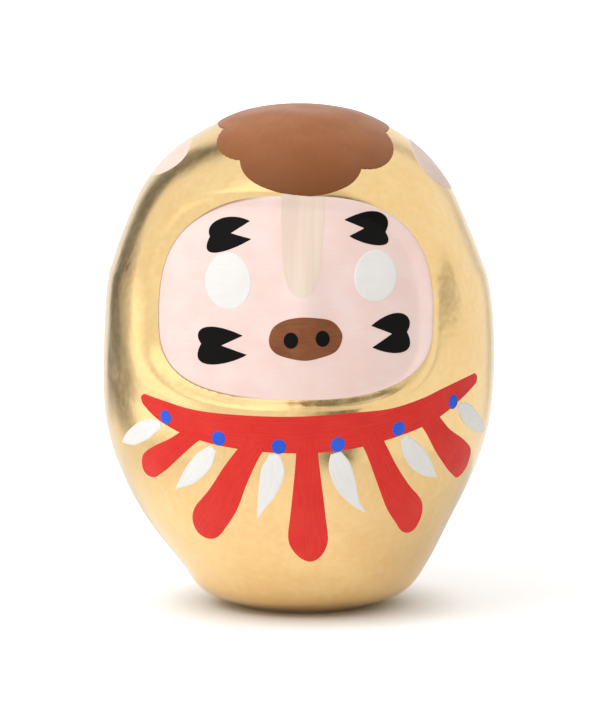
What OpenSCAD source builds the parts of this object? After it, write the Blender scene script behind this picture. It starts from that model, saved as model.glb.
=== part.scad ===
// Daruma doll with a piglet's face: a hollow, gilded papier-mache body on a weighted base,
// with hand-painted coats of colour. Millimetres. +Z is up, the front faces -Y, and the
// origin is on the surface that the doll stands on, under the middle of the body.

/* [Body] */
// Height of the doll
body_h = 150; // [120:1:200]
// Width across the widest part of the body
body_w = 117; // [94:1:156]
// Depth of the body from front to back
body_d = 111; // [88:1:148]
// Thickness of the papier-mache wall
wall = 2.2; // [1.5:0.1:3]
// Radius of the flat bottom
base_r = 18; // [15:0.5:21]

/* [Face] */
// Width of the recessed face
face_w = 81; // [72:0.5:86]
// Depth of the face below the rim round it
face_recess = 2.2; // [0.5:0.1:3]
// Width of the sloping wall between the face and the crest of its rim
rim_wall = 4.5; // [2.5:0.5:6]
// Height that the rim stands proud of the body
rim_roll = 0.8; // [0:0.1:1.5]
// How far the pink paint climbs that wall at the face's upper right
rim_shift = 2.4; // [0:0.2:3]
// Height of the soft ridge of the nose
nose_h = 2; // [0.5:0.1:3]

/* [Shoulders] */
// Height of the crease where the hood ends and the shoulders begin
crease_z = 103; // [98:1:112]
// How far the shoulders swell out below that crease
crease_step = 0.4; // [0:0.1:1.5]

/* [Paint] */
// Thickness of one coat of paint
coat = 0.3; // [0.2:0.05:0.4]
// Radius of a painted bead
bead_r = 2.2; // [1.5:0.1:2.5]

/* [Hidden] */

gold = [0.87, 0.72, 0.45];
pink = [0.98, 0.87, 0.84];
cream = [0.96, 0.86, 0.76];
brown = [0.50, 0.30, 0.19];
black = [0.10, 0.10, 0.09];
white = [0.96, 0.96, 0.94];
red = [0.88, 0.22, 0.18];
blue = [0.22, 0.42, 0.90];
paper = [0.80, 0.76, 0.68];
clay = [0.60, 0.48, 0.38];

// The heights below are drawn for a doll 150 high, and grow with it.
drawn_h = 150;
unit = body_h / drawn_h;

// Stations of the body, from the bottom to the crown: height, half width, depth of the front
// and depth of the back, in percent of the body's own, and the sideways lean in mm.
// The first and last rows only guide the curve's ends.
stations = [
    [-3, 8, 8, 8, 1.6],
    [0, 0, 0, 0, 1.6] + base_r * [0, 200 / body_w, 200 / body_d, 200 / body_d, 0],
    [3, 52, 52, 52, 1.6],
    [9, 64, 66, 64, 1.4],
    [18, 78.5, 83, 78, -0.2],
    [27, 90, 96, 90, -0.5],
    [37, 98, 100.5, 98, -0.4],
    [48, 100, 99.5, 100, -0.1],
    [59, 98.5, 97, 99, 0],
    [68, 94.5, 92.5, 95, -0.3],
    [77, 86, 84.5, 87, -0.6],
    [85, 76, 74.5, 77, -0.6],
    [91, 63, 62, 64, -0.4],
    [95.5, 46, 45.5, 46.5, 0],
    [98.8, 26.5, 26.5, 27, 0.1],
    [100, 0, 0, 0, 0.3],
    [98.8, -26.5, -26.5, -27, 0.4]];

face_x = -1.8;
face_z = 90.9 * unit;
face_up = 35.2 * unit;
face_down = 22.5 * unit;
face_power_up = 2.68;
face_power_down = 3;

// How finely the surfaces are cut up.
seam_steps = 34;
crown_steps = 10;
bottom_steps = 16;
face_rings = 7;
// The last ring but one lies at the foot of the wall where the paint covers it.
face_foot = 1 - rim_shift / (0.42 * face_w);
function face_size(k) = k == face_rings ? 1 : face_foot * k / (face_rings - 1);
wall_rings = 4;
outer_rings = 12;
back_columns = 24;

// ---- curves ----

// Catmull-Rom curve through the inner rows of a list; the first and last rows are guides.
function blend(a, b, c, d, u) =
    0.5 * (2 * b + (c - a) * u + (2 * a - 5 * b + 4 * c - d) * u * u
        + (3 * b - a - 3 * c + d) * u * u * u);
function guided(list, t) =
    let (spans = len(list) - 3)
    let (x = min(max(t, 0), 1) * spans)
    let (i = min(floor(x), spans - 1))
    blend(list[i], list[i + 1], list[i + 2], list[i + 3], x - i);
// The same through every row of an open list.
function with_guides(list) =
    let (n = len(list))
    concat([2 * list[0] - list[1]], list, [2 * list[n - 1] - list[n - 2]]);
// The same round a closed list, cut into a number of points.
function closed_curve(list, count) =
    let (n = len(list))
    [for (k = [0 : count - 1])
        let (x = k * n / count)
        let (i = floor(x))
        blend(list[(i + n - 1) % n], list[i % n], list[(i + 1) % n], list[(i + 2) % n], x - i)];
function cubic(a, b, c, d, t) =
    a * pow(1 - t, 3) + 3 * b * t * pow(1 - t, 2) + 3 * c * t * t * (1 - t) + d * pow(t, 3);
function smooth(t) =
    let (x = min(max(t, 0), 1))
    x * x * (3 - 2 * x);
function signed_power(x, p) = sign(x) * pow(abs(x), p);

// ---- the body's surface ----

// Section of the body at a fraction of the way up its profile, in mm.
function section(t) =
    let (s = guided(stations, t))
    [s[0] * body_h / 100, s[1] * body_w / 200, s[2] * body_d / 200, s[3] * body_d / 200, s[4]];
// The fraction of the profile at which the body reaches a height.
function fraction_at(z, low = 0, high = 1, turns = 18) =
    let (middle = (low + high) / 2)
    turns == 0 ? middle
    : section(middle)[0] < z ? fraction_at(z, middle, high, turns - 1)
    : fraction_at(z, low, middle, turns - 1);
function outward(p) =
    let (g = [p[0] / pow(body_w / 2, 2), p[1] / pow(body_d / 2, 2),
        (p[2] - 0.48 * body_h) / pow(0.52 * body_h, 2)])
    g / norm(g);
// Distance outside (or, below zero, inside) the edge of the face, seen from the front.
function face_edge_distance(x, z) =
    let (upper = z > face_z)
    let (power = upper ? face_power_up : face_power_down)
    let (u = abs(x - face_x) * 2 / face_w)
    let (v = abs(z - face_z) / (upper ? face_up : face_down))
    (pow(pow(u, power) + pow(v, power), 1 / power) - 1) * 0.42 * face_w;
// Height of the modelled relief above the plain body.
function face_relief(x, z) =
    let (corner = smooth(((x - face_x) * 2 / face_w + (z - face_z) / face_up) / 0.9))
    let (e = face_edge_distance(x, z) + rim_shift * corner)
    let (rise = 1 - pow(1 - min(max(e / rim_wall, 0), 1), 2))
    let (fall = smooth((e - rim_wall) / (2.5 * rim_wall)))
    rise * (face_recess + rim_roll) - face_recess - rim_roll * fall;
function nose_relief(x, z) =
    let (across = (x - 1.8) / 6)
    let (lower = smooth((z / unit - 77) / 10))
    let (upper = 1 - smooth((z / unit - 96) / 26))
    nose_h * exp(-across * across) * lower * upper;
function shoulder_relief(az, z) =
    let (turn = acos(cos(az)))
    let (side = smooth((turn - 58) / 16) * (1 - smooth((turn - 125) / 40)))
    let (below = 1 - smooth((z / unit - crease_z + 3) / 4))
    let (fade = smooth((z / unit - crease_z + 26) / 22))
    crease_step * side * below * fade;
function relief(az, x, z) =
    shoulder_relief(az, z) + (cos(az) <= 0 ? 0 : face_relief(x, z) + nose_relief(x, z));
// Point of the body's surface at an azimuth (0 in front, growing to the right), a fraction of
// its profile and a height above the surface.
function skin(az, t, lift) =
    let (s = section(t))
    let (depth = cos(az) < 0 ? s[3] : s[2])
    let (p = [s[4] + s[1] * sin(az), -depth * cos(az), s[0]])
    p + (lift + relief(az, p[0], p[2])) * outward(p);
// The same for a place given as [azimuth, drawn height].
function wrap(place, lift) = skin(place[0], fraction_at(place[1] * unit), lift);
// [azimuth, fraction] of a place on the outline of the face, at an angle round its middle,
// where size is 1 on the outline itself and grows outwards.
function face_place(angle, size) =
    let (c = cos(angle))
    let (s = sin(angle))
    let (power = 2 / (s > 0 ? face_power_up : face_power_down))
    let (x = face_x + face_w / 2 * size * signed_power(c, power))
    let (z = face_z + (s > 0 ? face_up : face_down) * size * signed_power(s, power))
    let (t = fraction_at(z))
    let (row = section(t))
    [asin(min(max((x - row[4]) / row[1], -1), 1)), t];

// Where the front half ends, as [azimuth, fraction]: along the bottom, up the right side,
// over the crown, where all azimuths are one point, and down the left side.
seam_loop = concat(
    [for (k = [0 : bottom_steps - 1]) [-90 + 180 * k / bottom_steps, 0]],
    [for (k = [0 : seam_steps - 1]) [90, k / seam_steps]],
    [for (k = [0 : crown_steps]) [90 - 180 * k / crown_steps, 1]],
    [for (k = [seam_steps - 1 : -1 : 1]) [-90, k / seam_steps]]);
crown_first = bottom_steps + seam_steps;
// The direction from the middle of the face to each point of that loop.
seam_angles = [for (p = seam_loop)
    atan2((section(p[1])[0] - face_z) * 2 / body_h, p[0] / 90)];

// ---- closed solids from two matching grids of points ----

// outer and inner are lists of rows; loop joins each row's end to its start. Points first_merged
// of the first row and last_merged of the last row, given as [from, to], are one point.
module slab(outer, inner, loop = false, first_merged = [0, 0], last_merged = [0, 0]) {
    rows = len(outer);
    columns = len(outer[0]);
    count = rows * columns;
    across = loop ? columns : columns - 1;
    function merged(j, range) = j >= range[0] && j <= range[1] ? range[0] : j;
    function at(i, j) =
        let (k = j % columns)
        i * columns + (i == 0 ? merged(k, first_merged) : i == rows - 1 ? merged(k, last_merged) : k);
    points = [for (grid = [outer, inner], row = grid, p = row) p];
    // each cell is cut along its shorter diagonal
    function quad(a, b, c, d) =
        norm(points[a] - points[c]) <= norm(points[b] - points[d]) ? [[a, c, b], [a, d, c]]
        : [[a, d, b], [b, d, c]];
    skins = [for (i = [0 : rows - 2], j = [0 : across - 1])
        let (a = at(i, j))
        let (b = at(i, j + 1))
        let (c = at(i + 1, j + 1))
        let (d = at(i + 1, j))
        each concat(quad(a, b, c, d), quad(count + d, count + c, count + b, count + a))];
    ends = [for (j = [0 : across - 1])
        each concat(
            quad(at(0, j + 1), at(0, j), count + at(0, j), count + at(0, j + 1)),
            quad(at(rows - 1, j), at(rows - 1, j + 1), count + at(rows - 1, j + 1),
                count + at(rows - 1, j)))];
    sides = loop ? [] : [for (i = [0 : rows - 2])
        each concat(
            quad(at(i, 0), at(i + 1, 0), count + at(i + 1, 0), count + at(i, 0)),
            quad(at(i + 1, across), at(i, across), count + at(i, across),
                count + at(i + 1, across)))];
    faces = [for (f = concat(skins, ends, sides)) if (f[0] != f[1] && f[1] != f[2] && f[0] != f[2]) f];
    polyhedron(points = points, faces = faces, convexity = 6);
}

// ---- paint ----

function doubled_area(loop) =
    let (n = len(loop))
    [for (i = [0 : n - 1]) loop[i][0] * loop[(i + 1) % n][1] - loop[(i + 1) % n][0] * loop[i][1]]
    * [for (i = [0 : n - 1]) 1];
function anticlockwise(loop) =
    doubled_area(loop) > 0 ? loop : [for (i = [len(loop) - 1 : -1 : 0]) loop[i]];

// A field of paint inside a closed outline, drawn as [azimuth, height] round a middle that
// sees all of it. level is the number of coats under it.
module field(outline, middle, rings = 3, level = 0) {
    loop = anticlockwise(outline);
    function ring(k, lift) =
        [for (p = loop) wrap(middle + (p - middle) * (rings - k) / rings, lift)];
    slab([for (k = [0 : rings]) ring(k, (level + 1) * coat)],
        [for (k = [0 : rings]) ring(k, level * coat)], loop = true, last_merged = [0, len(loop)]);
}

// An upright oval; lean is how far its top leans to the right for each mm of height.
function oval(middle, radii, count = 24, lean = 0) =
    [for (k = [0 : count - 1])
        let (up = radii[1] * sin(k * 360 / count))
        middle + [radii[0] * cos(k * 360 / count) + lean * up, up]];

// A brush stroke through stations of [azimuth, height, half width]. Its first and last parts,
// round_start and round_end of its length, close in arcs.
module stroke(spine, along = 12, across = 3, round_start = 0, round_end = 0.01, level = 0) {
    curve = with_guides(spine);
    thinnest = 0.12;
    function place(u, v) =
        let (p = guided(curve, u))
        let (q = guided(curve, min(u + 0.02, 1)) - guided(curve, max(u - 0.02, 0)))
        let (n = [q[1], -q[0]] / norm([q[0], q[1]]))
        let (e = max((u - 1 + round_end) / round_end, round_start > 0 ? 1 - u / round_start : 0, 0))
        let (w = max(p[2] * sqrt(max(1 - e * e, 0)), thinnest))
        [p[0], p[1]] + n * w * v;
    // the rows crowd together towards each round end, where the outline turns fastest
    function row(i, lift) =
        let (u = round_start > 0 ? (1 - cos(180 * i / along)) / 2 : 1 - pow(1 - i / along, 1.5))
        [for (j = [0 : across]) wrap(place(u, 1 - 2 * j / across), lift)];
    slab([for (i = [0 : along]) row(i, (level + 1) * coat)],
        [for (i = [0 : along]) row(i, level * coat)]);
}

// ---- structure ----

// Rings run from the middle of the face over its wall and rim out to the seam.
module front_shell() {
    crest = 1 + rim_wall / (0.42 * face_w);
    sizes = concat([for (k = [0 : face_rings]) face_size(k)],
        [for (k = [1 : wall_rings]) 1 + (crest - 1) * k / wall_rings]);
    function face_ring(size, lift) =
        [for (angle = seam_angles)
            let (p = face_place(angle, size))
            skin(p[0], p[1], lift)];
    function outer_ring(k, lift) =
        [for (j = [0 : len(seam_loop) - 1])
            let (p = face_place(seam_angles[j], crest))
            let (q = p + (seam_loop[j] - p) * k / outer_rings)
            skin(q[0], q[1], lift)];
    function grid(lift) = concat([for (size = sizes) face_ring(size, lift)],
        [for (k = [1 : outer_rings]) outer_ring(k, lift)]);
    color(gold) slab(grid(0), grid(-wall), loop = true, first_merged = [0, len(seam_loop)],
        last_merged = [crown_first, crown_first + crown_steps]);
}

// Rows run up from the bottom to the crown.
module back_shell() {
    function row(i, lift) =
        [for (j = [0 : back_columns]) skin(90 + 180 * j / back_columns, i / seam_steps, lift)];
    function grid(lift) = [for (i = [0 : seam_steps]) row(i, lift)];
    color(gold) slab(grid(0), grid(-wall), last_merged = [0, back_columns]);
}

// Paper strips glued inside over the joint at both sides, from near the bottom to the crown.
module seam_strips() {
    half_width = 5;
    thickness = 0.8;
    clearance = 0.1;
    rows = 22;
    first = 0.12;
    last = 0.93;
    function row(side, i, lift) =
        let (t = first + (last - first) * i / rows)
        let (spread = asin(half_width / section(t)[2]))
        [for (j = [-1 : 1]) skin(side * 90 + j * spread, t, lift)];
    color(paper) for (side = [-1, 1])
        slab([for (i = [0 : rows]) row(side, i, -wall - clearance)],
            [for (i = [0 : rows]) row(side, i, -wall - clearance - thickness)]);
}

// Card disc that closes the bottom opening; its edge follows the slope of the shell's edge.
module base_disc() {
    lean = stations[1][4];
    edge = outward([base_r, 0, 0]);
    color(paper) translate([lean, 0, 0])
        cylinder(h = -wall * edge[2], r1 = base_r, r2 = base_r - wall * edge[0], $fn = 96);
}

// Lump of clay glued on the disc.
module base_weight() {
    lean = stations[1][4];
    foot_r = 0.8 * base_r;
    lump_r = 1.45 * base_r;
    lump_h = 0.11 * body_h;
    color(clay) translate([lean, 0, wall])
        rotate_extrude($fn = 96)
            polygon([[0, 0], [foot_r, 0], [0.92 * lump_r, 0.3 * lump_h], [lump_r, 0.55 * lump_h],
                [0.96 * lump_r, 0.8 * lump_h], [0.7 * lump_r, lump_h], [0, 1.1 * lump_h]]);
}

// ---- the painted face ----

module face_coat() {
    function grid(lift) = [for (k = [0 : face_rings])
        [for (angle = seam_angles)
            let (p = face_place(angle, face_size(k)))
            skin(p[0], p[1], lift)]];
    color(pink) slab(grid(coat), grid(0), loop = true, first_merged = [0, len(seam_loop)]);
}

module brow_stripe() {
    color(cream) stroke([[2.4, 126, 8], [2.1, 121.6, 7.9], [1.7, 115.5, 7.1], [1.4, 109.4, 6.4],
        [1.2, 104, 5.7], [0.9, 97.7, 5.4]], along = 14, across = 4, round_end = 0.3, level = 1);
}

module snout() {
    outline = [[12.8, 86.6], [11.6, 89.6], [9.1, 91.5], [4.9, 92.1], [-0.1, 92.2], [-4.7, 91.3],
        [-7.8, 89.2], [-8.9, 85.8], [-8, 83], [-5.2, 81.2], [1.3, 79.9], [6.6, 80.8], [11, 82.7]];
    color(brown) field(closed_curve(outline, 36), [2, 86], rings = 4, level = 1);
}

nostrils = [[-2.4, 85.7], [6.8, 86.2]];
module nostril(place) {
    color(black) field(oval(place, [2.1, 2.3], 18), place, rings = 2, level = 2);
}

module eye(place, radii, lean) {
    color(white) field(oval(place, radii, 28, lean), place, rings = 3, level = 1);
}

// A cloven mark: two brush dabs that share their thick end. notch is the outer nick between
// them, crotch the inner one; each dab runs from the notch to its own tip over two controls.
module cloven_mark(notch, upper, crotch, lower, middle) {
    steps = 12;
    line = 3;
    outline = concat(
        [for (k = [0 : steps - 1]) cubic(notch, upper[0], upper[1], upper[2], k / steps)],
        [for (k = [0 : line - 1]) upper[2] + (crotch - upper[2]) * k / line],
        [for (k = [0 : line - 1]) crotch + (lower[2] - crotch) * k / line],
        [for (k = [0 : steps - 1]) cubic(lower[2], lower[1], lower[0], notch, k / steps)]);
    color(black) field(outline, middle, rings = 3, level = 1);
}

module brow_mark_left() {
    cloven_mark([-31.1, 115], [[-35.2, 119.2], [-25.2, 122.8], [-16.8, 119.8]], [-23.3, 116.2],
        [[-34.5, 107.4], [-22.9, 110.7], [-15.6, 114.7]], [-27.6, 115.7]);
}

module brow_mark_right() {
    cloven_mark([31.8, 116.2], [[36.2, 120.4], [27.3, 124.1], [16.9, 120.1]], [23.9, 117.6],
        [[35.3, 110.4], [22.9, 112.5], [17.9, 115.5]], [28, 117.1]);
}

module cheek_mark_left() {
    cloven_mark([-30.2, 84], [[-34.3, 88.4], [-28, 91.5], [-16.8, 86.9]], [-23.5, 83.8],
        [[-35.3, 75.3], [-21.2, 77.8], [-15.4, 81.4]], [-27.2, 84]);
}

module cheek_mark_right() {
    cloven_mark([33.8, 87.3], [[38, 91.8], [31.2, 96.2], [21.8, 89.6]], [28.5, 87],
        [[38, 79.3], [27, 80.7], [21.9, 83.3]], [31.4, 87.1]);
}

// ---- hair and ears ----

// Lobes of the hair in plan: middle x, middle y, radius across, radius fore and aft.
hair_lobes = [[0.5, -32, 17.5, 10.2], [-11.5, -20.5, 12.5, 12.5], [13.5, -20, 14, 14],
    [-14.5, -5.5, 9.5, 12.5], [17, -5.5, 9.5, 13], [1.5, 8, 14, 12]];
function in_hair(x, y) =
    min([for (b = hair_lobes) norm([(x - b[0] * unit) / b[2], (y - b[1] * unit) / b[3]])]) < unit;
// How far down the profile the hair reaches at an azimuth.
function hair_edge(az, low = 0.7, high = 0.99, turns = 14) =
    let (middle = (low + high) / 2)
    let (s = section(middle))
    let (depth = cos(az) < 0 ? s[3] : s[2])
    turns == 0 ? middle
    : in_hair(s[4] + s[1] * sin(az), -depth * cos(az)) ? hair_edge(az, low, middle, turns - 1)
    : hair_edge(az, middle, high, turns - 1);

module hair_patch() {
    rings = 9;
    count = 54;
    azimuths = [for (j = [0 : count - 1]) -180 + j * 360 / count];
    edges = [for (az = azimuths) hair_edge(az)];
    // the rings crowd together towards the edge, where the hair runs down over the rim
    function ring(k, lift) =
        [for (j = [0 : count - 1])
            skin(azimuths[j], edges[j] + (1 - edges[j]) * pow(k / rings, 1.5), lift)];
    color(brown) slab([for (k = [0 : rings]) ring(k, 1.2 * coat)],
        [for (k = [0 : rings]) ring(k, 0)], loop = true, last_merged = [0, count]);
}

module ear(place, radii) {
    color(pink) field(oval(place, radii, 28), place, rings = 3);
}

// ---- collar, tassels, beads and feathers ----

module collar_band() {
    color(red) stroke([[-51.3, 67, 1.4], [-43, 63.9, 3.2], [-30, 60.7, 4.3], [-15, 59.2, 5.1],
        [0, 58.8, 5.4], [14, 59.6, 5.4], [27, 61.2, 4.5], [38, 63.8, 4.2], [46, 66.4, 3.8],
        [54, 69, 2.8], [63, 71.6, 1.5]], along = 40, across = 4, round_start = 0.03,
        round_end = 0.02);
}

// One row of stations for each tassel, from the collar outwards.
tassels = [
    [[-32.8, 57.1, 2.6], [-38.6, 53.3, 3], [-44.8, 50, 3.7], [-50.3, 47.4, 3.8], [-55.7, 44.6, 3.6]],
    [[-13.9, 53.8, 3.2], [-18.8, 46.7, 4.1], [-24.5, 38.6, 5.1], [-31.4, 32.5, 5.4], [-39.3, 27.2, 5.4]],
    [[2.7, 53.1, 3.2], [3.1, 44.1, 4.3], [3.4, 34.2, 5.9], [3.5, 27.2, 7.2], [3.6, 19.6, 7]],
    [[22.7, 54.9, 3.1], [27.9, 46.5, 3.7], [34.2, 38.8, 4.7], [41.3, 33.2, 5.1], [47.2, 27.8, 5]],
    [[41.7, 60.3, 3.2], [47.7, 54.5, 3.9], [55.4, 49.8, 4.8], [61.6, 46.7, 4.8], [66, 44.3, 4.6]]];
module tassel(k) {
    color(red) stroke(tassels[k - 1], along = 14, across = 3, round_end = 0.22);
}

beads = [[-41, 62.1], [-23.2, 57.2], [-5.4, 55.4], [11.5, 55.9], [29.9, 59.6], [50.3, 65.7]];
module bead(k) {
    r = bead_r / unit;
    color(blue) field(oval(beads[k - 1], [r, r], 16), beads[k - 1], rings = 2, level = 1);
}

// One row of stations for each feather, from its bead to its tip.
feathers = [
    [[-43.3, 59.9, 1.2], [-49.8, 57.7, 2.8], [-57.5, 54.6, 2.4], [-62.8, 53, 1.2], [-65.8, 52, 0.1]],
    [[-25.1, 54.2, 1.2], [-28.6, 50.4, 2.8], [-34, 45.8, 2.5], [-38.9, 42.6, 1.1], [-42, 40.7, 0.1]],
    [[-6.6, 53.2, 1.4], [-7.1, 48.6, 3.4], [-9, 42.8, 3], [-11.7, 37.2, 1.3], [-13.6, 33.4, 0.1]],
    [[11, 53.4, 1.6], [12.4, 49.4, 3.2], [15.2, 43.6, 3.1], [19, 38.2, 1.3], [23.1, 34.9, 0.1]],
    [[31.9, 57, 1.2], [34.7, 53.4, 2.8], [39.4, 49.4, 3.1], [44.5, 45.9, 1.8], [49, 43.5, 0.1]],
    [[53.3, 64.2, 1.2], [57.8, 61.6, 2.8], [64.8, 58, 2.7], [71.4, 55.6, 1.6], [75.5, 54.4, 0.4]]];
module feather(k) {
    color(white) stroke(feathers[k - 1], along = 12, across = 2);
}

front_shell();
back_shell();
seam_strips();
base_disc();
base_weight();
face_coat();
brow_stripe();
snout();
nostril(nostrils[0]);  // nostril_left
nostril(nostrils[1]);  // nostril_right
eye([-22.4, 102.6], [7.7, 8.2], -0.1);  // eye_left
eye([25.2, 104], [7.4, 7.4], 0.18);  // eye_right
brow_mark_left();
brow_mark_right();
cheek_mark_left();
cheek_mark_right();
hair_patch();
ear([-86, 134.7], [25.5, 5.7]);  // ear_left
ear([88, 132.4], [25, 7.4]);  // ear_right
collar_band();
tassel(1);  // tassel_1
tassel(2);  // tassel_2
tassel(3);  // tassel_3
tassel(4);  // tassel_4
tassel(5);  // tassel_5
bead(1);  // bead_1
bead(2);  // bead_2
bead(3);  // bead_3
bead(4);  // bead_4
bead(5);  // bead_5
bead(6);  // bead_6
feather(1);  // feather_1
feather(2);  // feather_2
feather(3);  // feather_3
feather(4);  // feather_4
feather(5);  // feather_5
feather(6);  // feather_6
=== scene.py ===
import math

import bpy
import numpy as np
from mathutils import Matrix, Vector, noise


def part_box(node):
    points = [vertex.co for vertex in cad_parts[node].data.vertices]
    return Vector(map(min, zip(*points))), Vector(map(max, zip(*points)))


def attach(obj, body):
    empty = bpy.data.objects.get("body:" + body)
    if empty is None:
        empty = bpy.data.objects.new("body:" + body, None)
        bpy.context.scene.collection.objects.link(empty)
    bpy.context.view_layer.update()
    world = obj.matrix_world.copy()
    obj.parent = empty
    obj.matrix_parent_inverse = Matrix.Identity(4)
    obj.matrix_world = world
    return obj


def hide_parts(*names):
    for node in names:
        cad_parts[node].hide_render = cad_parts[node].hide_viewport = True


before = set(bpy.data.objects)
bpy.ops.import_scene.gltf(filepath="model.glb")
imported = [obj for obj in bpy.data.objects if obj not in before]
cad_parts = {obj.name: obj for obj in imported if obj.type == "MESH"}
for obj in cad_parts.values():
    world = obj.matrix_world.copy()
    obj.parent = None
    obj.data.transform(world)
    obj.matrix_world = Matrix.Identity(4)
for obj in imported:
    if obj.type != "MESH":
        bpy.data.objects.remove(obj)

# Daruma doll with a piglet's face: the gilded paper skin in two halves, and every coat of paint
# as a thin sheet that lies on it. Sizes are in millimetres and angles in degrees until a mesh is
# made. A place on the body is an azimuth (0 in front, growing to the right) and a height.

bpy.context.view_layer.update()

MM = 0.001

# ---- sizes from the frame ----

shell_low, shell_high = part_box("back_shell")
disc_low, disc_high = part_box("base_disc")
body_h = shell_high.z / MM
body_w = (shell_high.x - shell_low.x) / MM
body_d = 2 * shell_high.y / MM
base_r = disc_high.y / MM
foot_lean = (disc_high.x + disc_low.x) / 2 / MM
# The outlines below are for a doll this high, and a drawn height is a height on that doll.
drawn_h = 150
unit = body_h / drawn_h

wall = 2.2
face_w = 81
face_recess = 2.2
rim_wall = 4.5
rim_roll = 0.8
rim_shift = 2.4
nose_h = 2
crease_z = 103
crease_step = 0.4

# Height %, half width %, depth of the front %, depth of the back %, sideways lean in mm.
# The first and last rows only guide the curve's ends.
stations = np.array([
    [-3, 8, 8, 8, foot_lean],
    [0, base_r * 200 / body_w, base_r * 200 / body_d, base_r * 200 / body_d, foot_lean],
    [3, 52, 52, 52, 1.6],
    [9, 64, 66, 64, 1.4],
    [18, 78.5, 83, 78, -0.2],
    [27, 90, 96, 90, -0.5],
    [37, 98, 100.5, 98, -0.4],
    [48, 100, 99.5, 100, -0.1],
    [59, 98.5, 97, 99, 0],
    [68, 94.5, 92.5, 95, -0.3],
    [77, 86, 84.5, 87, -0.6],
    [85, 76, 74.5, 77, -0.6],
    [91, 63, 62, 64, -0.4],
    [95.5, 46, 45.5, 46.5, 0],
    [98.8, 26.5, 26.5, 27, 0.1],
    [100, 0, 0, 0, 0.3],
    [98.8, -26.5, -26.5, -27, 0.4]])

face_x = -1.8
face_z = 90.9 * unit
face_up = 35.2 * unit
face_down = 22.5 * unit
face_power_up = 2.68
face_power_down = 3

# ---- paint ----

coat_t = 0.2        # thickness of a coat that lies on the gold
top_coat_t = 0.14   # and of one that lies on another coat
hair_t = 1.5 * coat_t
ear_t = 0.15
mark_t = 0.16
feather_t = 0.17
stripe_t = 0.05
bead_t = 0.42
edge_round = 0.4    # how far in from its edge a coat reaches its full thickness
sunk = 0.02         # how deep the edge of a coat starts in what it lies on
bead_r = 2.2 / unit
tuck = 0.12         # how deep a coat's hidden underside lies below its edge
stripe_seed = 3     # sets the brush marks of the stripe


# ---- curves ----

def blend(a, b, c, d, u):
    """Catmull-Rom curve between b and c."""
    return 0.5 * (2 * b + (c - a) * u + (2 * a - 5 * b + 4 * c - d) * u ** 2
                  + (3 * b - a - 3 * c + d) * u ** 3)


def guided(rows, t):
    """The curve through the inner rows of a list, at t from 0 to 1."""
    spans = len(rows) - 3
    x = np.clip(t, 0, 1) * spans
    i = np.minimum(np.floor(x).astype(int), spans - 1)
    return blend(rows[i], rows[i + 1], rows[i + 2], rows[i + 3], (x - i)[..., None])


def with_guides(rows):
    """The rows with one more at each end, straight on from the last two."""
    rows = np.array(rows, float)
    return np.vstack([2 * rows[0] - rows[1], rows, 2 * rows[-1] - rows[-2]])


def closed_curve(points, count):
    """The curve round a closed list of points."""
    points = np.array(points, float)
    n = len(points)
    x = np.arange(count) * n / count
    i = np.floor(x).astype(int)
    return blend(points[i - 1], points[i % n], points[(i + 1) % n], points[(i + 2) % n],
                 (x - i)[:, None])


def cubic(a, b, c, d, count):
    """Places along a cubic curve from a to d, without d itself."""
    t = (np.arange(count) / count)[:, None]
    a, b, c, d = (np.array(p, float) for p in (a, b, c, d))
    return a * (1 - t) ** 3 + 3 * b * t * (1 - t) ** 2 + 3 * c * t ** 2 * (1 - t) + d * t ** 3


def straight(a, b, count):
    """Places along a line from a to b, without b itself."""
    t = (np.arange(count) / count)[:, None]
    return np.array(a, float) * (1 - t) + np.array(b, float) * t


def smooth(t):
    x = np.clip(t, 0, 1)
    return x * x * (3 - 2 * x)


def bump_at(distance, reach):
    """A soft bump that is 1 in its middle."""
    return np.exp(-(distance / reach) ** 2)


def sin_d(a):
    return np.sin(np.radians(a))


def cos_d(a):
    return np.cos(np.radians(a))


# ---- the body's surface ----

def section(t):
    """Height, half width, front depth, back depth and lean at a fraction of the profile."""
    scale = np.array([body_h / 100, body_w / 200, body_d / 200, body_d / 200, 1])
    return guided(stations, t) * scale


profile_t = np.linspace(0, 1, 4001)
profile = section(profile_t)
profile_z = profile[:, 0]


def fraction_at(z):
    return np.interp(z, profile_z, profile_t)


def outward(p):
    g = (p - [0, 0, 0.48 * body_h]) / np.array([body_w / 2, body_d / 2, 0.52 * body_h]) ** 2
    return g / np.linalg.norm(g, axis=-1, keepdims=True)


def face_edge_distance(x, z):
    """Distance outside (or, below zero, inside) the edge of the face, seen from the front."""
    upper = z > face_z
    power = np.where(upper, face_power_up, face_power_down)
    u = np.abs(x - face_x) * 2 / face_w
    v = np.abs(z - face_z) / np.where(upper, face_up, face_down)
    return ((u ** power + v ** power) ** (1 / power) - 1) * 0.42 * face_w


def face_relief(x, z):
    # towards the upper right the pink paint covers the foot of the wall, so the gold is flatter
    corner = smooth(((x - face_x) * 2 / face_w + (z - face_z) / face_up) / 0.9)
    e = face_edge_distance(x, z) + rim_shift * corner
    # the foot of the wall is sharpest at the left
    softness = 0.5 - 0.42 * smooth((-x - 12) / 12)
    foot = (e + np.sqrt(e * e + softness)) / 2
    rise = 1 - (1 - np.clip(foot / rim_wall, 0, 1)) ** 2
    fall = smooth((e - rim_wall) / (2.5 * rim_wall))
    return rise * (face_recess + rim_roll) - face_recess - rim_roll * fall


def nose_relief(x, z):
    lower = smooth((z / unit - 77) / 10)
    upper = 1 - smooth((z / unit - 96) / 26)
    return nose_h * bump_at(x - 1.8, 6) * lower * upper


def shoulder_relief(az, z):
    turn = np.degrees(np.arccos(cos_d(az)))
    side = smooth((turn - 58) / 16) * (1 - smooth((turn - 125) / 40))
    below = 1 - smooth((z / unit - crease_z + 3) / 4)
    fade = smooth((z / unit - crease_z + 26) / 22)
    return crease_step * side * below * fade


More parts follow.
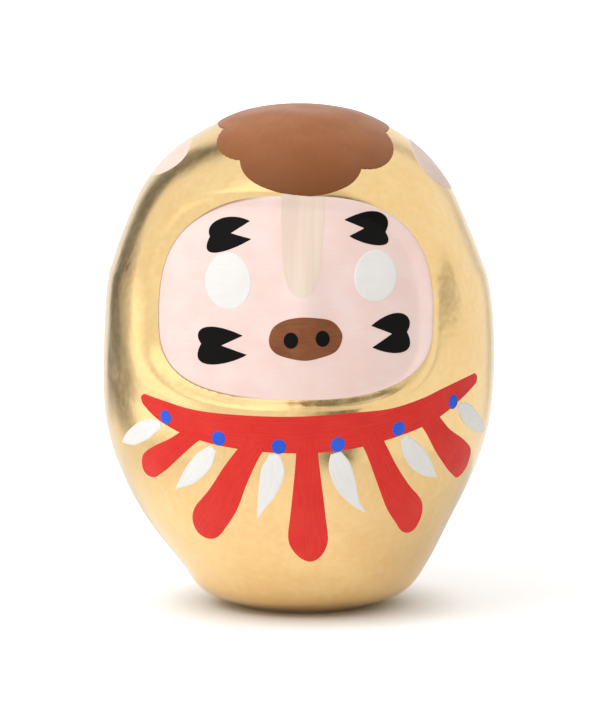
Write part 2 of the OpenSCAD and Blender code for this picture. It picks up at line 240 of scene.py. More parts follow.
def noise_at(points, size):
    """Smooth noise from -1 to 1 whose lumps are about that size, in mm."""
    flat = (points / size).reshape(-1, 3)
    return np.array([noise.noise(p) for p in flat.tolist()]).reshape(points.shape[:-1])


# Puckers in the paper, most of them round the face: azimuth, height, reach and depth.
puckers = [
    [-43, 71, 7, 0.08],
    [-30, 68.5, 5, 0.05],
    [-2, 66.5, 8, 0.05],
    [19, 66.5, 6, 0.05],
    [49, 88, 7, 0.05],
    [50, 99, 7, 0.06],
    [-66, 104, 5, 0.08],
    [-84, 102, 8, 0.08],
    [120, 80, 9, 0.08],
    [-140, 60, 9, 0.08]]


def paper_relief(az, p):
    """The waves and puckers of hand-laid paper."""
    waves = 0.13 * noise_at(p, 17) + 0.045 * noise_at(p + 40, 6.5)
    grain = noise_at(p * [1, 1, 1.6] + 90, 2.3)
    near = sum(depth * bump_at(np.hypot(az - a, p[..., 2] / unit - z), reach)
               for a, z, reach, depth in puckers)
    return waves + (0.006 + near) * grain


def skin(az, t, lift):
    """Points of the body's surface, at azimuths, profile fractions and heights above it."""
    az, t, lift = np.broadcast_arrays(np.asarray(az, float), t, lift)
    s = section(t)
    front = cos_d(az) >= 0
    depth = np.where(front, s[..., 2], s[..., 3])
    p = np.stack([s[..., 4] + s[..., 1] * sin_d(az), -depth * cos_d(az), s[..., 0]], -1)
    x, z = p[..., 0], p[..., 2]
    relief = shoulder_relief(az, z) + np.where(front, face_relief(x, z) + nose_relief(x, z), 0)
    # the paper lies still at the foot and along the crown, so that both halves close there
    still = smooth(z / 6) * smooth((body_h - z) / 1.5)
    relief = relief + still * paper_relief(az, p)
    return p + (lift + relief)[..., None] * outward(p)


def wrap(place, lift):
    """The same for places given as [azimuth, drawn height]."""
    return skin(place[..., 0], fraction_at(place[..., 1] * unit), lift)


def face_place(angle, size):
    """[azimuth, drawn height] of places on the face's outline, grown by size round its middle."""
    c, s = cos_d(angle), sin_d(angle)
    power = 2 / np.where(s > 0, face_power_up, face_power_down)
    x = face_x + face_w / 2 * size * np.sign(c) * np.abs(c) ** power
    z = face_z + np.where(s > 0, face_up, face_down) * size * np.sign(s) * np.abs(s) ** power
    row = section(fraction_at(z))
    return np.stack([np.degrees(np.arcsin((x - row[..., 4]) / row[..., 1])), z / unit], -1)


# ---- meshes ----

class Sheets:
    """Closed sheets that together make one piece."""

    def __init__(self):
        self.points = []
        self.brush = []
        self.normals = []
        self.faces = []
        self.count = 0

    def add(self, points, brush=0.0, normals=0.0):
        """Adds a grid of points and returns their numbers. brush says where each one lies along
        and across its brush stroke and how far inside its edge, in mm. A normal of 0 is left to
        the faces."""
        first = self.count
        self.count += points[..., 0].size
        for store, values in ((self.points, points), (self.brush, brush), (self.normals, normals)):
            store.append(np.broadcast_to(values, points.shape).reshape(-1, 3))
        return np.arange(first, self.count).reshape(points.shape[:-1])

    def quads(self, grid):
        a, b, c, d = grid[:-1, :-1], grid[:-1, 1:], grid[1:, 1:], grid[1:, :-1]
        self.faces += np.stack([a, b, c, d], -1).reshape(-1, 4).tolist()


def make_piece(name, sheets, material, slot, *nodes):
    """Turns the sheets into a piece that stands for some CAD nodes."""
    points = np.vstack(sheets.points) * MM
    merged, first, index = np.unique(np.round(points, 8), axis=0, return_index=True,
                                     return_inverse=True)
    index = index.reshape(-1)
    faces = [list(dict.fromkeys(index[f].tolist())) for f in sheets.faces]
    mesh = bpy.data.meshes.new(name)
    mesh.from_pydata(merged.tolist(), [], [f for f in faces if len(f) > 2])
    brush = mesh.attributes.new("brush", "FLOAT_VECTOR", "POINT")
    brush.data.foreach_set("vector", np.vstack(sheets.brush)[first].astype(np.float32).ravel())
    mesh.materials.append(material)
    mesh.shade_smooth()
    normals = np.vstack(sheets.normals)[first]
    if normals.any():
        mesh.normals_split_custom_set_from_vertices(normals.tolist())
    piece = bpy.data.objects.new(name, mesh)
    bpy.context.scene.collection.objects.link(piece)
    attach(piece, "root")
    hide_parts(*nodes)
    return piece


def edge_height(inside, thickness, rounding=edge_round, beading=0.04):
    """Height of a coat at a distance inside its edge: a round edge with a faint bead of paint."""
    x = np.clip(inside / rounding, 0, 1)
    bead = beading * bump_at(inside - 1.6 * rounding, 0.8 * rounding)
    return thickness * (np.sqrt(1 - (1 - x) ** 2) + bead)


def distance_to(outline, places):
    """Distance from each place to the closed outline, both on the unrolled sheet."""
    a = outline
    step = np.roll(outline, -1, axis=0) - a
    flat = places.reshape(-1, 1, 2)
    t = np.clip(((flat - a) * step).sum(-1) / (step ** 2).sum(-1), 0, 1)
    gap = np.linalg.norm(flat - a - t[..., None] * step, axis=-1)
    return gap.min(axis=1).reshape(places.shape[:-1])


# Ring sizes of a field, crowded together at its edge.
edge_rings = [1, 0.992, 0.98, 0.965, 0.945, 0.92, 0.89, 0.85, 0.8]


def field(sheets, outline, middle, thickness=top_coat_t, level=coat_t, rings=10,
          rounding=edge_round):
    """A sheet of paint inside a closed outline, drawn round a middle that sees all of it."""
    outline = np.array(outline, float)
    ahead = np.roll(outline, -1, axis=0)
    area = outline[:, 0] * ahead[:, 1] - ahead[:, 0] * outline[:, 1]
    if area.sum() < 0:
        outline = outline[::-1]
    middle = np.array(middle, float)
    sizes = np.array(edge_rings + np.linspace(0.8, 0, rings)[1:].tolist())
    places = middle + (outline - middle) * sizes[:, None, None]
    inside = distance_to(outline, places)
    lift = level - sunk + edge_height(inside, thickness, rounding)
    brush = np.concatenate([places - middle, inside[..., None]], -1)
    close_disc(sheets, lambda k, height: wrap(places[k], height), lift, brush, level)


def close_disc(sheets, surface, lift, brush, level):
    """A closed sheet from rings that shrink to a point. surface gives the points of some rings."""
    rings = np.arange(len(lift))
    low_rings = np.append(rings[:-1:4], rings[-1])
    low = np.full(lift[low_rings].shape, level - tuck)
    top = sheets.add(surface(rings, lift), brush)
    under = sheets.add(surface(low_rings, low), brush[low_rings])
    grid = np.vstack([under[::-1], top])
    sheets.quads(np.hstack([grid, grid[:, :1]]))


def oval(middle, radii, lean=0.0, count=72):
    """An upright oval; lean is how far its top leans to the right for each mm of height."""
    turn = np.arange(count) * 360 / count
    across, up = radii[0] * cos_d(turn), radii[1] * sin_d(turn)
    return np.stack([middle[0] + across + lean * up, middle[1] + up], -1)


def stroke(sheets, spine, along=120, across=36, round_start=0.0, round_end=0.01, thickness=coat_t,
           level=0.0, climb=0.0, ridges=0.012, seed=0):
    """A brush stroke through stations of [azimuth, height, half width]. Its first and last parts,
    round_start and round_end of its length, close in arcs. climb lifts it over the coat that it
    starts on, where it comes up out of that coat within its first 2 mm."""
    curve = with_guides(spine)
    t = np.linspace(0, 1, along + 1)
    u = (1 - np.cos(math.pi * t)) / 2 if round_start else 1 - (1 - t) ** 1.5
    p = guided(curve, u)
    q = guided(curve, u + 0.02)[:, :2] - guided(curve, u - 0.02)[:, :2]
    normal = np.stack([q[:, 1], -q[:, 0]], -1) / np.linalg.norm(q, axis=1)[:, None]
    e = np.maximum((u - 1 + round_end) / round_end, 0)
    if round_start:
        e = np.maximum(e, 1 - u / round_start)
    half = np.maximum(p[:, 2] * np.sqrt(np.maximum(1 - e * e, 0)), 0.06)[:, None]
    v = -np.cos(np.linspace(0, math.pi, across + 1))
    places = p[:, None, :2] + normal[:, None] * (half * v)[..., None]
    length = np.concatenate([[0], np.cumsum(np.linalg.norm(np.diff(p[:, :2], axis=0), axis=1))])
    # the distance inside the edge, which near the tip is also the distance to the tip
    inside = half * (1 - np.abs(v))
    brush = np.stack(np.broadcast_arrays(length[:, None], half * v + seed * 20, inside), -1)
    hairs = noise_at(brush * [0.06, 1, 0] + [0, 0, seed], 0.8) * smooth(inside / edge_round)
    rise = climb - coat_t * (1 - smooth(length / 2))
    start = (rise * (1 - smooth((length - 5) / 4)))[:, None] if climb else 0
    lift = level - sunk + start + edge_height(inside, thickness) + ridges * hairs
    low = np.full((along + 1, 2), level - tuck)
    top = sheets.add(wrap(places, lift), brush)
    under = sheets.add(wrap(places[:, [0, -1]], low), brush[:, [0, -1]])
    sheets.quads(top)
    sheets.quads(under[:, ::-1])
    sheets.quads(np.stack([under[:, 0], top[:, 0]], -1))
    sheets.quads(np.stack([top[:, -1], under[:, 1]], -1))
    sheets.faces.append([under[0, 0], under[0, 1]] + top[0, ::-1].tolist())
    sheets.faces.append([under[-1, 1], under[-1, 0]] + top[-1].tolist())


# ---- node trees ----

class Tree:
    """Short calls for building a node tree."""

    def __init__(self, owner):
        owner.use_nodes = True
        self.tree = owner.node_tree
        self.tree.nodes.clear()

    def add(self, kind, inputs=None, **settings):
        node = self.tree.nodes.new("ShaderNode" + kind)
        for key, value in settings.items():
            setattr(node, key, value)
        for key, value in (inputs or {}).items():
            self.feed(node.inputs[key], value)
        return node

    def feed(self, socket, value):
        if isinstance(value, bpy.types.NodeSocket):
            self.tree.links.new(value, socket)
        else:
            socket.default_value = value

    def math(self, operation, a, b=0.0):
        return self.add("Math", {0: a, 1: b}, operation=operation).outputs[0]

    def ramp(self, value, low, high, start=0.0, end=1.0):
        """start below low, end above high, and a smooth change between."""
        node = self.add("MapRange", {"Value": value, "From Min": low, "From Max": high,
                                     "To Min": start, "To Max": end},
                        interpolation_type="SMOOTHSTEP")
        return node.outputs["Result"]

    def colour(self, factor, a, b):
        node = self.add("Mix", {0: factor}, data_type="RGBA")
        self.feed(node.inputs[6], a)
        self.feed(node.inputs[7], b)
        return node.outputs[2]

    def noise(self, vector, scale, detail=2.0, roughness=0.5, distortion=0.0):
        node = self.add("TexNoise", {"Vector": vector, "Scale": scale, "Detail": detail,
                                     "Roughness": roughness, "Distortion": distortion})
        return node.outputs["Fac"]

    def scaled(self, vector, scale):
        node = self.add("VectorMath", {0: vector, 1: scale}, operation="MULTIPLY")
        return node.outputs[0]


def srgb(red, green, blue):
    """Linear colour from one given from 0 to 255 on a screen."""
    parts = [c / 255 for c in (red, green, blue)]
    return [c / 12.92 if c <= 0.04045 else ((c + 0.055) / 1.055) ** 2.4 for c in parts] + [1]


# ---- materials ----

def gilded_paper():
    """Gold paint brushed on smoothed paper: satin metal, faintly mottled, with fine grain."""
    material = bpy.data.materials.new("gilded_paper")
    t = Tree(material)
    place = t.add("TexCoord").outputs["Object"]
    clouds = t.noise(place, 55, 3)
    mottle = t.noise(place, 420, 4, 0.6)
    brushed = t.noise(t.scaled(place, (1, 1, 0.25)), 1100, 3, 0.55)
    grain = t.noise(place, 2600, 2)
    tone = t.math("ADD", t.math("MULTIPLY", clouds, 0.5), t.math("MULTIPLY", mottle, 0.5))
    base = t.colour(t.ramp(tone, 0.36, 0.64), (0.88, 0.60, 0.265, 1), (0.93, 0.675, 0.325, 1))
    rough = t.math("ADD", t.ramp(mottle, 0.3, 0.7, 0.15, 0.22),
                   t.ramp(clouds, 0.35, 0.65, -0.02, 0.03))
    height = t.math("ADD", t.math("MULTIPLY", brushed, 0.6), t.math("MULTIPLY", grain, 0.4))
    relief = t.add("Bump", {"Height": height, "Strength": 0.12, "Distance": 0.00012})
    shader = t.add("BsdfPrincipled", {
        "Base Color": base, "Metallic": 1.0, "Roughness": rough, "Normal": relief.outputs[0],
        "Coat Weight": 0.15, "Coat Roughness": 0.12})
    out = t.add("OutputMaterial")
    t.feed(out.inputs["Surface"], shader.outputs[0])
    return material


def paint(name, light, dark, roughness=0.42, streaks=0.5, fresh=None, specular=0.15, low=None,
          left_edge_shade=None):
    """Hand-brushed paint: streaks that follow the stroke, slow changes of tone between two
    colours, an edge where the paint ran thinner or thicker, and fine brush ridges. low is a
    height near the crown below which the paint is darkened towards its lower edge, as painted
    shade where less overhead light falls. The colour for the face's thin left edge is laid there
    as painted shade of the rim wall beside it."""
    material = bpy.data.materials.new(name)
    t = Tree(material)
    place = t.add("TexCoord").outputs["Object"]
    brush = t.add("Attribute", attribute_name="brush").outputs["Vector"]
    split = t.add("SeparateXYZ", {0: brush})
    hairs = t.noise(t.scaled(brush, (0.07, 1.0, 0.0)), 1.9, 3, 0.6)
    slow = t.noise(place, 130, 2)
    tone = t.math("ADD", t.math("MULTIPLY", hairs, streaks), t.math("MULTIPLY", slow, 1 - streaks))
    base = t.colour(t.ramp(tone, 0.36, 0.64), dark, light)
    # painted shade: the paint darkens towards the hair's lower edge, as if less overhead light fell
    # there
    if low:
        height = t.add("SeparateXYZ", {0: place}).outputs["Z"]
        base = t.colour(t.ramp(height, low * MM, body_h * MM, 0.9, 0), base, srgb(118, 64, 26))
    if fresh:
        base = t.colour(t.ramp(split.outputs["Z"], 0.0, 0.9, 0.55, 0.0), base, fresh)
    # painted shade: a brown line along the face paint's thin left edge, where the rim wall is in shadow
    if left_edge_shade:
        left_edge_mask = t.math("MULTIPLY", t.ramp(split.outputs["Z"], 0.25, 0.75, 0.8, 0),
                      t.ramp(split.outputs["X"], -24, -8, 1, 0))
        base = t.colour(left_edge_mask, base, left_edge_shade)
    rough = t.ramp(tone, 0.3, 0.7, roughness + 0.06, roughness - 0.05)
    fine = t.noise(place, 1700, 3, 0.6)
    height = t.math("ADD", t.math("MULTIPLY", hairs, 0.8), t.math("MULTIPLY", fine, 0.2))
    relief = t.add("Bump", {"Height": height, "Strength": 0.22, "Distance": 0.0001})
    shader = t.add("BsdfPrincipled", {
        "Base Color": base, "Roughness": rough, "Normal": relief.outputs[0],
        "Specular IOR Level": specular})
    out = t.add("OutputMaterial")
    t.feed(out.inputs["Surface"], shader.outputs[0])
    return material


def stripe_paint():
    """Thin cream paint over pink: faint long brush marks, greyer on its right as painted shade of the
    nose ridge under it.
    """
    material = bpy.data.materials.new("stripe_paint")
    t = Tree(material)
    brush = t.add("Attribute", attribute_name="brush").outputs["Vector"]
    # the seed of a stroke moves its places across the brush by 20 mm each
    across = t.math("SUBTRACT", t.add("SeparateXYZ", {0: brush}).outputs["Y"], 20 * stripe_seed)
    marks = t.noise(t.scaled(brush, (0.04, 1.0, 0.0)), 0.7, 3, 0.5)
    body = t.colour(t.ramp(marks, 0.3, 0.7), srgb(243, 222, 204), srgb(247, 229, 212))
    # painted shade: the stripe turns greyer towards its right, on the shaded flank of the nose ridge
    shade_across = t.math("ADD", across, t.math("MULTIPLY", marks, 2.0))
    base = t.colour(t.ramp(shade_across, 0.5, 5, 0, 0.7), body, srgb(235, 212, 197))
    relief = t.add("Bump", {"Height": marks, "Strength": 0.15, "Distance": 0.0001})
    shader = t.add("BsdfPrincipled", {
        "Base Color": base, "Roughness": 0.45, "Specular IOR Level": 0.15,
        "Normal": relief.outputs[0]})
    out = t.add("OutputMaterial")
    t.feed(out.inputs["Surface"], shader.outputs[0])
    return material


def plain_paper():
    """Greyish card and paste, with fibres."""
    material = bpy.data.materials.new("plain_paper")
    t = Tree(material)
    place = t.add("TexCoord").outputs["Object"]
    fibres = t.noise(t.scaled(place, (1, 0.2, 1)), 900, 4, 0.65, 0.4)
    stains = t.noise(place, 90, 3)
    base = t.colour(fibres, srgb(196, 184, 160), srgb(222, 212, 190))
    base = t.colour(t.ramp(stains, 0.5, 0.75, 0, 0.5), base, srgb(176, 158, 126))
    relief = t.add("Bump", {"Height": fibres, "Strength": 0.5, "Distance": 0.0002})
    shader = t.add("BsdfPrincipled", {
        "Base Color": base, "Roughness": 0.85, "Normal": relief.outputs[0]})
    out = t.add("OutputMaterial")
    t.feed(out.inputs["Surface"], shader.outputs[0])
    return material


def fired_clay():
    """Reddish brown clay with lumps and dark grit."""
    material = bpy.data.materials.new("fired_clay")
    t = Tree(material)
    place = t.add("TexCoord").outputs["Object"]
    lumps = t.noise(place, 220, 5, 0.6)
    grit = t.add("TexVoronoi", {"Vector": place, "Scale": 1300}).outputs["Distance"]
    base = t.colour(lumps, srgb(132, 98, 74), srgb(176, 138, 108))
    base = t.colour(t.ramp(grit, 0.1, 0.3, 0.4, 0), base, srgb(98, 74, 58))
    relief = t.add("Bump", {"Height": lumps, "Strength": 0.6, "Distance": 0.0006})
    shader = t.add("BsdfPrincipled", {
        "Base Color": base, "Roughness": 0.9, "Normal": relief.outputs[0]})
    out = t.add("OutputMaterial")
    t.feed(out.inputs["Surface"], shader.outputs[0])
    return material


gold = gilded_paper()
# the face's paint gets a painted shade of brown along its left edge
pink = paint("pink_paint", srgb(253, 229, 222), srgb(251, 221, 213), 0.42, 0.35,
             left_edge_shade=srgb(150, 108, 62))
ear_pink = paint("ear_paint", srgb(246, 229, 218), srgb(240, 219, 206), 0.45, 0.5)
cream = stripe_paint()
# the hair's paint darkens towards its lower edge: painted shade
hair_brown = paint("hair_paint", srgb(174, 108, 60), srgb(166, 101, 55), 0.38, 0.35, specular=0.3,
                   low=0.82 * body_h)
snout_brown = paint("snout_paint", srgb(146, 90, 58), srgb(128, 76, 46), 0.42, 0.5)
black = paint("black_paint", (0.004, 0.004, 0.0035, 1), (0.006, 0.0055, 0.005, 1), 0.36, 0.7,
              specular=0.08)
white = paint("eye_paint", srgb(247, 245, 243), srgb(242, 240, 237), 0.42, 0.5)
feather_white = paint("feather_paint", srgb(246, 246, 243), srgb(239, 239, 235), 0.42, 0.8,
                      fresh=srgb(240, 234, 220))
red = paint("red_paint", srgb(232, 60, 50), srgb(224, 50, 43), 0.42, 0.6)
blue = paint("blue_paint", srgb(56, 104, 230), srgb(46, 90, 216), 0.4, 0.5)
paper = plain_paper()
clay = fired_clay()

# ---- the gilded halves ----

skin_columns = 520
skin_rows = 300
inner_step = 4


def equal_fractions(count):
    """Fractions of the profile that cut it into equal lengths."""
    run = np.hypot(np.diff(profile[:, 0]), np.diff(profile[:, 1]))
    length = np.concatenate([[0], np.cumsum(run)])
    return np.interp(np.linspace(0, length[-1], count + 1), length, profile_t)


def grid_normals(points):
    """Unit normals of a grid that closes on itself from its last column to its first."""
    padded = np.concatenate([points[:, -2:-1], points, points[:, 1:2]], axis=1)
    around = np.gradient(padded, axis=1)[:, 1:-1]
    upward = np.gradient(points, axis=0)
    normals = np.cross(around, upward)
    normals[-1] = [0, 0, 1]
    return normals / np.linalg.norm(normals, axis=-1, keepdims=True)


def gilded_half(name, node, points, normals, azimuths, fractions):
    """One half of the body: the fine outer skin, a coarser inner one, and the edge between."""
    sheets = Sheets()
    inner_points = skin(azimuths[::inner_step], fractions[::inner_step, None], -wall)
    outer = sheets.add(points, normals=normals)
    inner = sheets.add(inner_points)
    sheets.quads(outer)
    sheets.quads(inner[:, ::-1])

    def rim(fine, coarse):
        for k in range(len(coarse) - 1):
            part = fine[k * inner_step:(k + 1) * inner_step + 1]
            sheets.faces.append([coarse[k], coarse[k + 1]] + part[::-1].tolist())
    rim(outer[0], inner[0])
    rim(outer[::-1, 0], inner[::-1, 0])
    rim(outer[:, -1], inner[:, -1])
    make_piece(name, sheets, gold, "gilded_paper", node)


def gilded_body():
    """Both halves are cut from one grid, so that they meet at the seam."""
    azimuths = np.linspace(-180, 180, skin_columns + 1)
    fractions = equal_fractions(skin_rows)
    points = skin(azimuths, fractions[:, None], 0)
    normals = grid_normals(points)
    quarter = skin_columns // 4
    front = np.arange(quarter, 3 * quarter + 1)
    back = np.r_[3 * quarter:skin_columns, 0:quarter + 1]
    for name, node, part in (("front_gilding", "front_shell", front),
                             ("back_gilding", "back_shell", back)):
        gilded_half(name, node, points[:, part], normals[:, part], azimuths[part], fractions)


gilded_body()

# ---- the painted face ----

def face_coat():
    """Rings run from the face's outline to its middle."""
    count = 400
    angles = np.arange(count) * 360 / count
    sizes = np.concatenate([edge_rings[:3], np.linspace(0.97, 0.8, 32), np.linspace(0.79, 0, 52)])
    places = face_place(angles, sizes[:, None])
    inside = distance_to(places[0], places)
    ridges = 0.012 * noise_at(np.stack([places[..., 0] * 0.15, places[..., 1], inside * 0], -1), 1.2)
    lift = edge_height(inside, coat_t) - sunk + ridges * smooth(inside)
    brush = np.concatenate([places, inside[..., None]], -1)
    sheets = Sheets()
    close_disc(sheets, lambda k, height: wrap(places[k], height), lift, brush, 0)
    make_piece("painted_face", sheets, pink, "pink_paint", "face_coat")


def brow_stripe():
    sheets = Sheets()
    spine = [[2.4, 126, 8], [2.1, 121.6, 7.9], [1.7, 115.5, 7.1], [1.4, 109.4, 6.4], [1.2, 104, 5.7],
             [0.9, 97.7, 5.4]]
    stroke(sheets, spine, 110, 48, round_end=0.3, thickness=stripe_t, level=coat_t, ridges=0.02,
           seed=stripe_seed)
    make_piece("painted_stripe", sheets, cream, "cream_paint", "brow_stripe")


def snout_and_nostrils():
    outline = [[12.8, 86.6], [11.6, 89.6], [9.1, 91.5], [4.9, 92.1], [-0.1, 92.2], [-4.7, 91.3],
               [-7.8, 89.2], [-8.9, 85.8], [-8, 83], [-5.2, 81.2], [1.3, 79.9], [6.6, 80.8], [11, 82.7]]
    sheets = Sheets()
    field(sheets, closed_curve(outline, 130), [2, 86], rings=16)
    make_piece("painted_snout", sheets, snout_brown, "brown_paint", "snout")
    for side, place in (("left", [-2.4, 85.7]), ("right", [6.8, 86.2])):
        sheets = Sheets()
        field(sheets, oval(place, [2.1, 2.3]), place, mark_t, coat_t + top_coat_t, 6, 0.3)
        make_piece("painted_nostril_" + side, sheets, black, "black_paint", "nostril_" + side)


def eyes():
    for side, place, radii, lean in (("left", [-22.4, 102.6], [7.7, 8.2], -0.1),
                                     ("right", [25.2, 104], [7.4, 7.4], 0.18)):
        sheets = Sheets()
        field(sheets, oval(place, radii, lean, 96), place, rings=14)
        make_piece("painted_eye_" + side, sheets, white, "white_paint", "eye_" + side)


# A cloven mark is two brush dabs that share their thick end. Each row is the outer nick between
# them, the upper dab's two controls and tip, the inner nick, the lower dab's two controls and
# tip, and a middle that sees the whole outline.
cloven_marks = {
    "brow_mark_left": [[-31.1, 115], [-35.2, 119.2], [-25.2, 122.8], [-16.8, 119.8], [-23.3, 116.2],
                       [-34.5, 107.4], [-22.9, 110.7], [-15.6, 114.7], [-27.6, 115.7]],
    "brow_mark_right": [[31.8, 116.2], [36.2, 120.4], [27.3, 124.1], [16.9, 120.1], [23.9, 117.6],
                        [35.3, 110.4], [22.9, 112.5], [17.9, 115.5], [28, 117.1]],
    "cheek_mark_left": [[-30.2, 84], [-34.3, 88.4], [-28, 91.5], [-16.8, 86.9], [-23.5, 83.8],
                        [-35.3, 75.3], [-21.2, 77.8], [-15.4, 81.4], [-27.2, 84]],
    "cheek_mark_right": [[33.8, 87.3], [38, 91.8], [31.2, 96.2], [21.8, 89.6], [28.5, 87],
                         [38, 79.3], [27, 80.7], [21.9, 83.3], [31.4, 87.1]]}


def marks():
    for name, row in cloven_marks.items():
        notch, up_1, up_2, up_tip, crotch, low_1, low_2, low_tip, middle = row
        outline = np.vstack([cubic(notch, up_1, up_2, up_tip, 40), straight(up_tip, crotch, 14),
                             straight(crotch, low_tip, 14), cubic(low_tip, low_2, low_1, notch, 40)])
        sheets = Sheets()
        field(sheets, outline, middle, mark_t, rings=14, rounding=0.35)
        make_piece("painted_" + name, sheets, black, "black_paint", name)


face_coat()
brow_stripe()
snout_and_nostrils()
eyes()
marks()

# ---- hair and ears ----

# Lobes of the hair in plan: middle x, middle y, radius across, radius fore and aft.
hair_lobes = [[0.5, -32, 17.5, 10.2], [-11.5, -20.5, 12.5, 12.5], [13.5, -20, 14, 14],
              [-14.5, -5.5, 9.5, 12.5], [17, -5.5, 9.5, 13], [1.5, 8, 14, 12]]


def hair():
    """Rings run from the scalloped edge up to the crown."""
    count = 480
    azimuths = np.arange(count) * 360 / count
    t = np.linspace(0.7, 0.99, 3000)[:, None]
    s = section(t)
    depth = np.where(cos_d(azimuths) < 0, s[..., 3], s[..., 2])
    x, y = s[..., 4] + s[..., 1] * sin_d(azimuths), -depth * cos_d(azimuths)
    gap = [np.hypot((x - a * unit) / c, (y - b * unit) / d) for a, b, c, d in hair_lobes]
    covered = np.min(gap, axis=0) < unit
    edges = t[np.argmax(covered, axis=0), 0]
    at_edge = [0, 0.001, 0.003, 0.006, 0.01, 0.018, 0.03]
    share = np.concatenate([at_edge, np.linspace(0.045, 1, 56) ** 1.05])
    fractions = edges + (1 - edges) * share[:, None]
    turns = np.broadcast_to(azimuths, fractions.shape)
    flat = skin(turns, fractions, 0)
    ring = flat[0]
    reach = np.linalg.norm(flat[:, :, None] - ring[None, None, ::4], axis=-1).min(axis=2)
    inside = np.where(share[:, None] == 0, 0, reach)
    sweep = np.stack([fractions * 160, turns * 0.35, inside], -1)
    ridges = 0.014 * noise_at(sweep * [0.12, 1, 0], 1.4) * smooth(inside) * (1 - share[:, None])
    lift = edge_height(inside, hair_t, 0.5, 0) - sunk + ridges
    sheets = Sheets()
    close_disc(sheets, lambda k, height: skin(turns[k], fractions[k], height), lift, sweep, 0)
    make_piece("painted_hair", sheets, hair_brown, "brown_paint", "hair_patch")


def ears():
    for side, place, radii in (("left", [-86, 134.7], [25.5, 5.7]),
                               ("right", [88, 132.4], [25, 7.4])):
        sheets = Sheets()
        field(sheets, oval(place, radii, count=120), place, ear_t, 0, 20)
        make_piece("painted_ear_" + side, sheets, ear_pink, "pink_paint", "ear_" + side)


hair()
ears()

# ---- collar, tassels, beads and feathers ----

collar = [[-51.3, 67, 1.4], [-43, 63.9, 3.2], [-30, 60.7, 4.3], [-15, 59.2, 5.1], [0, 58.8, 5.4],
          [14, 59.6, 5.4], [27, 61.2, 4.5], [38, 63.8, 4.2], [46, 66.4, 3.8], [54, 69, 2.8],
          [63, 71.6, 1.5]]
tassels = [
    [[-32.8, 57.1, 2.6], [-38.6, 53.3, 3], [-44.8, 50, 3.7], [-50.3, 47.4, 3.8], [-55.7, 44.6, 3.6]],
    [[-13.9, 53.8, 3.2], [-18.8, 46.7, 4.1], [-24.5, 38.6, 5.1], [-31.4, 32.5, 5.4], [-39.3, 27.2, 5.4]],
    [[2.7, 53.1, 3.2], [3.1, 44.1, 4.3], [3.4, 34.2, 5.9], [3.5, 27.2, 7.2], [3.6, 19.6, 7]],
    [[22.7, 54.9, 3.1], [27.9, 46.5, 3.7], [34.2, 38.8, 4.7], [41.3, 33.2, 5.1], [47.2, 27.8, 5]],
    [[41.7, 60.3, 3.2], [47.7, 54.5, 3.9], [55.4, 49.8, 4.8], [61.6, 46.7, 4.8], [66, 44.3, 4.6]]]
beads = [[-41, 62.1], [-23.2, 57.2], [-5.4, 55.4], [11.5, 55.9], [29.9, 59.6], [50.3, 65.7]]
feathers = [
    [[-43.3, 59.9, 1.2], [-49.8, 57.7, 2.8], [-57.5, 54.6, 2.4], [-62.8, 53, 1.2], [-65.8, 52, 0.1]],
    [[-25.1, 54.2, 1.2], [-28.6, 50.4, 2.8], [-34, 45.8, 2.5], [-38.9, 42.6, 1.1], [-42, 40.7, 0.1]],
    [[-6.6, 53.2, 1.4], [-7.1, 48.6, 3.4], [-9, 42.8, 3], [-11.7, 37.2, 1.3], [-13.6, 33.4, 0.1]],
    [[11, 53.4, 1.6], [12.4, 49.4, 3.2], [15.2, 43.6, 3.1], [19, 38.2, 1.3], [23.1, 34.9, 0.1]],
    [[31.9, 57, 1.2], [34.7, 53.4, 2.8], [39.4, 49.4, 3.1], [44.5, 45.9, 1.8], [49, 43.5, 0.1]],
    [[53.3, 64.2, 1.2], [57.8, 61.6, 2.8], [64.8, 58, 2.7], [71.4, 55.6, 1.6], [75.5, 54.4, 0.4]]]


def necklace():
    sheets = Sheets()
    stroke(sheets, collar, 420, 48, 0.02, 0.015, seed=1)
    make_piece("painted_collar", sheets, red, "red_paint", "collar_band")
    for k, spine in enumerate(tassels, 1):
        sheets = Sheets()
        first, second = np.array(spine[:2], float)
        inside_collar = first + (first - second) * [0.55, 0.55, 0]
        stroke(sheets, [inside_collar] + spine, round_end=0.2, climb=0.04, seed=10 + k)
        make_piece("painted_tassel_%d" % k, sheets, red, "red_paint", "tassel_%d" % k)
    for k, place in enumerate(beads, 1):
        sheets = Sheets()
        field(sheets, oval(place, [bead_r, bead_r]), place, bead_t, 0, 8, 0.8)
        make_piece("painted_bead_%d" % k, sheets, blue, "blue_paint", "bead_%d" % k)
    for k, spine in enumerate(feathers, 1):
        sheets = Sheets()
        stroke(sheets, spine, 90, 24, thickness=feather_t, climb=0.14, ridges=0.02, seed=20 + k)
        make_piece("painted_feather_%d" % k, sheets, feather_white, "white_paint", "feather_%d" % k)


necklace()

# ---- the parts that stay as the frame has them ----

def finish_node(name, material):
    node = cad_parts[name]
    for entry in node.material_slots:
        entry.material = material


finish_node("seam_strips", paper)
finish_node("base_disc", paper)
finish_node("base_weight", clay)

# ---- floor, light and camera ----

def ring_of_floor(name, inner, outer, material):
    """A flat ring of floor round the doll."""
    count = 96
    turn = np.arange(count) * 2 * math.pi / count
    circle = np.stack([np.cos(turn), np.sin(turn), turn * 0], -1) * MM
    points = np.vstack([circle * outer, circle * inner]).tolist()
    faces = [[k, (k + 1) % count, count + (k + 1) % count, count + k] for k in range(count)]
    mesh = bpy.data.meshes.new(name)
    mesh.from_pydata(points, [], faces)
    mesh.materials.append(material)
    floor = bpy.data.objects.new(name, mesh)
    bpy.context.scene.collection.objects.link(floor)
    return floor


